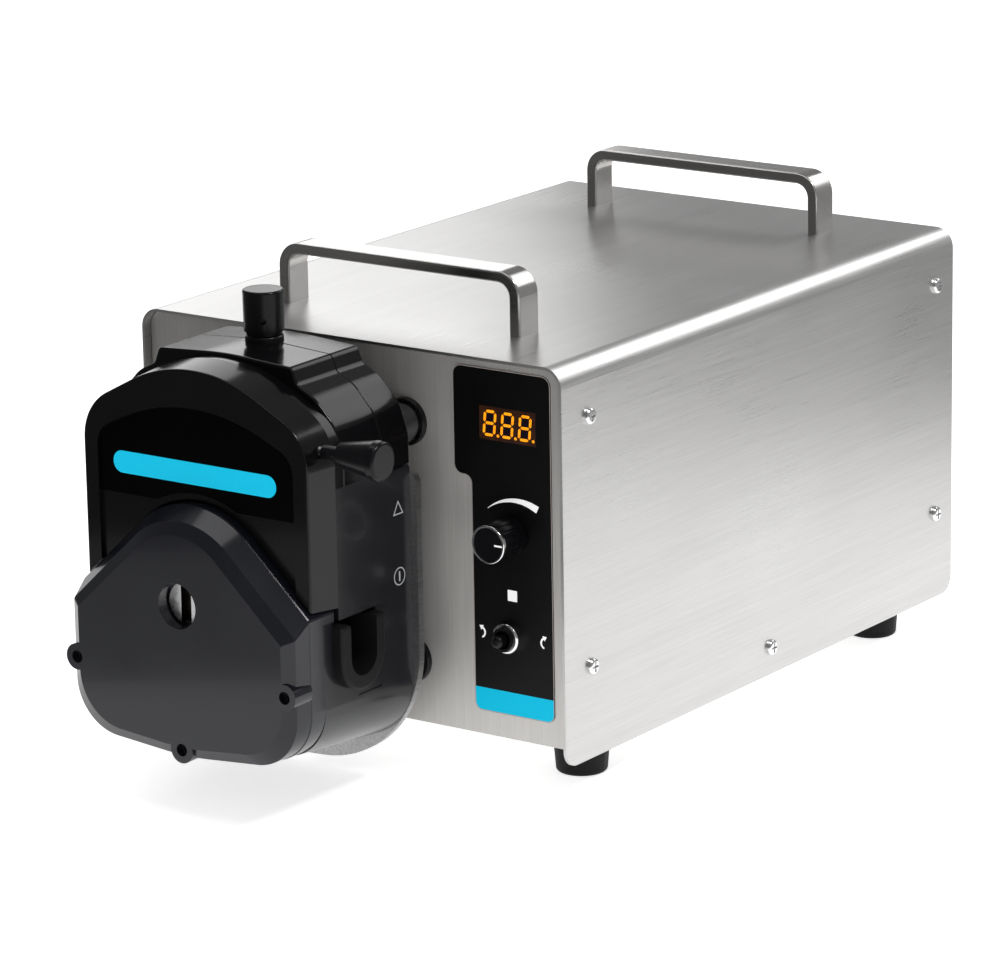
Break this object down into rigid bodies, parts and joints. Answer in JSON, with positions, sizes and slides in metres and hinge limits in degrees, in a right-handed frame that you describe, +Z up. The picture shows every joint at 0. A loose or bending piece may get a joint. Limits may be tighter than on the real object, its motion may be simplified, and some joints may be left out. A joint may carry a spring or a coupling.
{
  "type": "peristaltic pump",
  "caption": "Bench peristaltic pump: a stainless drive case with a roller pump head on its front, an opening tube jaw, a speed knob, a display and carrying handles.",
  "frame": {"origin": "middle of the whole object's footprint, on the surface that the rubber feet stand on", "axes": "+X to the operator's right, +Y from the pump head to the rear panel, +Z up"},
  "size_m": [0.2544, 0.475, 0.242],
  "materials": {
    "case_steel": "brushed",
    "handle_steel": "satin polished",
    "screw_steel": "bright",
    "socket_screw_steel": "bright",
    "rubber": "matte",
    "overlay_film": "fine grain",
    "window_tint": "gloss",
    "display_body": "matte",
    "knob_plastic": "satin",
    "bright_trim": "polished",
    "control_metal": "satin",
    "black_plastic": "satin",
    "rocker_plastic": "gloss",
    "motor_paint": "satin",
    "supply_metal": "satin",
    "circuit_board": "satin",
    "connector_metal": "satin",
    "guard_wire": "bright",
    "post_steel": "polished",
    "plate_alloy": "brushed",
    "head_satin": "satin",
    "cap_satin": "satin",
    "head_gloss": "gloss",
    "label_film": "gloss",
    "shaft_steel": "ground",
    "brass": "machined",
    "pin_steel": "ground"
  },
  "bodies": {
    "root": {"outer_cover": "case_steel", "front_panel": "case_steel", "rear_panel": "case_steel", "base_panel": "case_steel", "cover_screws": "screw_steel", "handles": "handle_steel", "handle_screws": "screw_steel", "rubber_feet": "rubber", "foot_fasteners": "screw_steel", "control_overlay": "overlay_film", "display_window": "window_tint", "display_module": "display_body", "potentiometer": "control_metal", "toggle_body": "black_plastic", "toggle_nut": "bright_trim", "motor_housing": "motor_paint", "motor_rear_cap": "motor_paint", "m5_screws": "socket_screw_steel", "power_supply": "supply_metal", "driver_board": "circuit_board", "power_inlet": "black_plastic", "power_switch_body": "black_plastic", "signal_connector": "connector_metal", "fan_frame": "black_plastic", "fan_guard": "guard_wire", "rear_screws": "screw_steel", "standoff_posts": "post_steel", "post_collars": "black_plastic", "mount_plate": "plate_alloy", "pump_body": "head_satin", "tube_holders": "rubber", "front_cap": "cap_satin", "cap_screws": "socket_screw_steel", "shaft_bearings": "shaft_steel", "lift_nut": "brass"},
    "rotor": {"rotor_shaft": "shaft_steel", "rotor_discs": "shaft_steel", "roller_axles": "shaft_steel", "shaft_coupling": "plate_alloy", "motor_shaft": "shaft_steel"},
    "roller_1": {"roller_1": "shaft_steel"},
    "roller_2": {"roller_2": "shaft_steel"},
    "roller_3": {"roller_3": "shaft_steel"},
    "upper_jaw": {"jaw_block": "head_satin", "upper_front_shell": "head_gloss", "upper_rear_shell": "head_gloss", "arch_cover": "head_gloss", "cover_label": "label_film", "screw_bushing": "black_plastic", "latch_spring": "pin_steel"},
    "lift_screw": {"lift_knob": "knob_plastic", "lead_screw": "pin_steel"},
    "latch": {"latch_knob": "knob_plastic", "latch_pin": "pin_steel"},
    "speed_knob": {"speed_knob": "knob_plastic", "speed_knob_ring": "bright_trim", "potentiometer_shaft": "control_metal"},
    "toggle": {"toggle_lever": "black_plastic"},
    "rocker": {"power_switch_rocker": "rocker_plastic"},
    "fan": {"fan_rotor": "black_plastic"}
  },
  "joints": [
    {"name": "rotor_turn", "type": "hinge", "parent": "root", "child": "rotor", "pos_m": [-0.015, -0.19, 0.1036], "axis": [0, 1, 0], "continuous": true},
    {"name": "roller_1_turn", "type": "hinge", "parent": "rotor", "child": "roller_1", "pos_m": [-0.015, -0.1895, 0.1301], "axis": [0, 1, 0], "continuous": true},
    {"name": "roller_2_turn", "type": "hinge", "parent": "rotor", "child": "roller_2", "pos_m": [-0.03795, -0.1895, 0.09035], "axis": [0, 1, 0], "continuous": true},
    {"name": "roller_3_turn", "type": "hinge", "parent": "rotor", "child": "roller_3", "pos_m": [0.00795, -0.1895, 0.09035], "axis": [0, 1, 0], "continuous": true},
    {"name": "jaw_lift", "type": "slide", "parent": "root", "child": "upper_jaw", "axis": [0, 0, 1], "range_m": [0, 0.018]},
    {"name": "lift_screw_turn", "type": "hinge", "parent": "upper_jaw", "child": "lift_screw", "pos_m": [-0.015, -0.1655, 0.23], "axis": [0, 0, 1], "range_deg": [0, 2160]},
    {"name": "latch_pull", "type": "slide", "parent": "upper_jaw", "child": "latch", "axis": [1, 0, 0], "range_m": [0, 0.005], "stiffness_N_per_m": 800, "springref_m": -0.005, "deforming": ["latch_spring"]},
    {"name": "speed_knob_turn", "type": "hinge", "parent": "root", "child": "speed_knob", "pos_m": [0.0928, -0.125, 0.1257], "axis": [0, 1, 0], "range_deg": [-240, 60]},
    {"name": "toggle_flip", "type": "hinge", "parent": "root", "child": "toggle", "pos_m": [0.0903, -0.1185, 0.075], "axis": [0, 0, 1], "range_deg": [-13, 13]},
    {"name": "rocker_flip", "type": "hinge", "parent": "root", "child": "rocker", "pos_m": [0.082, 0.2315, 0.1], "axis": [1, 0, 0], "range_deg": [0, 16]},
    {"name": "fan_spin", "type": "hinge", "parent": "root", "child": "fan", "pos_m": [-0.062, 0.21, 0.13], "axis": [0, 1, 0], "continuous": true}
  ],
  "couplings": [
    {"joint": "lift_screw_turn", "follows": "jaw_lift", "rad_per_m": 2094.4}
  ]
}
